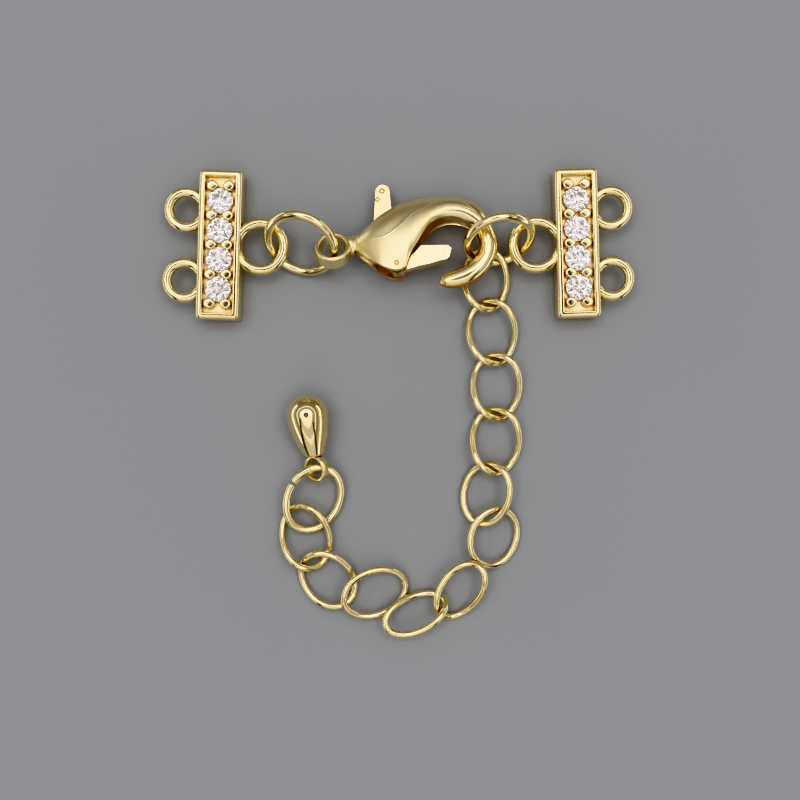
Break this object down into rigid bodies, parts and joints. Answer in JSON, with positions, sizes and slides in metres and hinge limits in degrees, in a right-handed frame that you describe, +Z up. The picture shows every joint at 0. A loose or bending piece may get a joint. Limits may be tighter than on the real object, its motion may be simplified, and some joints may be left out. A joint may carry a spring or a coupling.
{
  "type": "multi-strand clasp",
  "caption": "Multi-strand jewellery clasp: stone-set end bars joined by jump rings and a lobster claw with a sprung lever, and an extender chain that ends in a drop.",
  "frame": {"origin": "middle of the whole object's box in X and Y, on the table that it lies on", "axes": "+X from the left end bar to the right one, +Y from the chain to the bars, +Z up from the table"},
  "size_m": [0.0363, 0.036, 0.0049],
  "materials": {
    "gold_plating": "polished",
    "crystal": "polished"
  },
  "bodies": {
    "clasp": {"left_bar": "gold_plating", "right_bar": "gold_plating", "stone_left_1": "crystal", "stone_left_2": "crystal", "stone_left_3": "crystal", "stone_left_4": "crystal", "stone_right_1": "crystal", "stone_right_2": "crystal", "stone_right_3": "crystal", "stone_right_4": "crystal", "left_jump_ring": "gold_plating", "right_jump_ring": "gold_plating", "clasp_body": "gold_plating", "lever_pin": "gold_plating", "link_1": "gold_plating", "link_2": "gold_plating", "link_3": "gold_plating", "link_4": "gold_plating", "link_5": "gold_plating", "link_6": "gold_plating", "link_7": "gold_plating", "link_8": "gold_plating", "link_9": "gold_plating", "link_10": "gold_plating", "link_11": "gold_plating", "end_ring": "gold_plating", "drop": "gold_plating"},
    "lever": {"lever": "gold_plating"}
  },
  "joints": [
    {"name": "lever_hinge", "type": "hinge", "parent": "clasp", "child": "lever", "pos_m": [-0.0002, 0.01001, 0.00205], "axis": [-0.0344, 0.1736, 0.9842], "range_deg": [0, 20], "stiffness_Nm_per_rad": 0.01, "springref_deg": -17.19}
  ]
}
